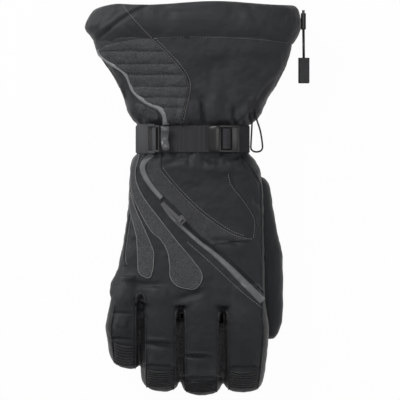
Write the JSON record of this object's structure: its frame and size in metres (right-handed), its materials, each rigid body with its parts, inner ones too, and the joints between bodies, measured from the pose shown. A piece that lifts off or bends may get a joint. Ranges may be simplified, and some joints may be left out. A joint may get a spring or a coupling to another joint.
{
  "type": "insulated winter gauntlet glove",
  "caption": "Long-cuffed insulated glove for the right hand with wrist strap, zip pocket, drawcord hem and pre-curved fingers.",
  "frame": {"origin": "on the surface that the glove lies on, under the middle of the glove", "axes": "+X towards the thumb side, +Y towards the cuff opening, +Z away from the surface, out of the back of the hand"},
  "size_m": [0.2046, 0.3613, 0.0627],
  "materials": {
    "shell_fabric": "matte softshell twill",
    "hem_fabric": "matte woven, gathered",
    "leather": "satin synthetic leather",
    "ribbed_leather": "ribbed, satin",
    "quilted_leather": "quilted, satin",
    "grey_welt": "smooth reflective film",
    "lining": "brushed fleece",
    "insulation": "batting with knitted lining",
    "webbing": "ribbed woven tape",
    "zip_tape": "knitted tape",
    "zip_teeth": "reverse coil",
    "dark_metal": "black enamel",
    "gloss_plastic": "polished",
    "black_plastic": "fine moulded grain",
    "cord": "braided",
    "hook_tape": "hook tape"
  },
  "bodies": {
    "hand": {"buckle_plate": "black_plastic", "cord_lock_body": "black_plastic", "cord_lock_spring": "dark_metal", "cord_pull": "black_plastic", "cuff_hem": "hem_fabric", "drawcord_end": "cord", "drawcord_loop": "cord", "eyelet": "dark_metal", "gauntlet_lining": "lining", "gauntlet_piping": "grey_welt", "gauntlet_shell": "shell_fabric", "hand_insulation": "insulation", "hand_lining": "lining", "hand_shell": "shell_fabric", "hook_and_loop_tab": "hook_tape", "knuckle_yoke": "leather", "lever_pin": "dark_metal", "lock_loop": "webbing", "loop_tab": "webbing", "narrow_leaf_patch": "leather", "palm_heel_pad": "leather", "palm_leather": "leather", "quilted_gauntlet_patch": "quilted_leather", "reflective_welt": "grey_welt", "retention_loop": "cord", "shield_panel": "shell_fabric", "strap_webbing": "webbing", "wide_leaf_patch": "leather", "zip_end_stops": "zip_teeth", "zip_tape_lower": "zip_tape", "zip_tape_upper": "zip_tape", "zip_teeth": "zip_teeth", "zip_welt_lower": "grey_welt", "zip_welt_upper": "grey_welt"},
    "cam_lever": {"cam_lever": "gloss_plastic"},
    "cord_lock_button": {"cord_lock_button": "black_plastic"},
    "index_finger": {"index_finger_liner": "insulation", "index_finger_shell": "shell_fabric", "index_fingertip_cap": "ribbed_leather"},
    "ladder_lock": {"ladder_lock": "black_plastic"},
    "little_finger": {"little_finger_liner": "insulation", "little_finger_shell": "shell_fabric", "little_fingertip_cap": "ribbed_leather"},
    "middle_finger": {"middle_finger_liner": "insulation", "middle_finger_shell": "shell_fabric", "middle_fingertip_cap": "ribbed_leather"},
    "zip_slider": {"puller_pin": "dark_metal", "zip_slider": "dark_metal"},
    "ring_finger": {"ring_finger_liner": "insulation", "ring_finger_shell": "shell_fabric", "ring_fingertip_cap": "ribbed_leather"},
    "thumb": {"thumb_liner": "insulation", "thumb_shell": "shell_fabric"},
    "zip_puller": {"zip_puller": "dark_metal"}
  },
  "joints": [
    {"name": "index_finger_curl", "type": "hinge", "parent": "hand", "child": "index_finger", "pos_m": [0.0461, -0.132, 0.03828], "axis": [1, 0, 0], "range_deg": [-10, 40]},
    {"name": "middle_finger_curl", "type": "hinge", "parent": "hand", "child": "middle_finger", "pos_m": [0.00745, -0.132, 0.03851], "axis": [1, 0, 0], "range_deg": [-10, 40]},
    {"name": "ring_finger_curl", "type": "hinge", "parent": "hand", "child": "ring_finger", "pos_m": [-0.0298, -0.129, 0.03937], "axis": [1, 0, 0], "range_deg": [-10, 40]},
    {"name": "little_finger_curl", "type": "hinge", "parent": "hand", "child": "little_finger", "pos_m": [-0.06265, -0.115, 0.0406], "axis": [1, 0, 0], "range_deg": [-10, 40]},
    {"name": "thumb_spread", "type": "hinge", "parent": "hand", "child": "thumb", "pos_m": [0.056, 0.008, 0.014], "axis": [0, 0, 1], "range_deg": [0, 35]},
    {"name": "zip_slide", "type": "slide", "parent": "hand", "child": "zip_slider", "axis": [0.7362, -0.6746, 0.053], "range_m": [-0.016, 0.062]},
    {"name": "puller_swing", "type": "hinge", "parent": "zip_slider", "child": "zip_puller", "pos_m": [-0.01143, -0.01905, 0.06057], "axis": [0.6767, 0.734, -0.0577], "range_deg": [-3, 150]},
    {"name": "lever_lift", "type": "hinge", "parent": "hand", "child": "cam_lever", "pos_m": [-0.0316, 0.055, 0.0543], "axis": [0, -1, 0], "range_deg": [0, 100]},
    {"name": "lock_tilt", "type": "hinge", "parent": "hand", "child": "ladder_lock", "pos_m": [0.0395, 0.055, 0.0549], "axis": [0, 1, 0], "range_deg": [0, 30]},
    {"name": "button_press", "type": "slide", "parent": "hand", "child": "cord_lock_button", "axis": [0, -1, 0], "range_m": [0, 0.0028], "stiffness_N_per_m": 800, "springref_m": -0.002, "deforming": ["cord_lock_spring"]}
  ]
}
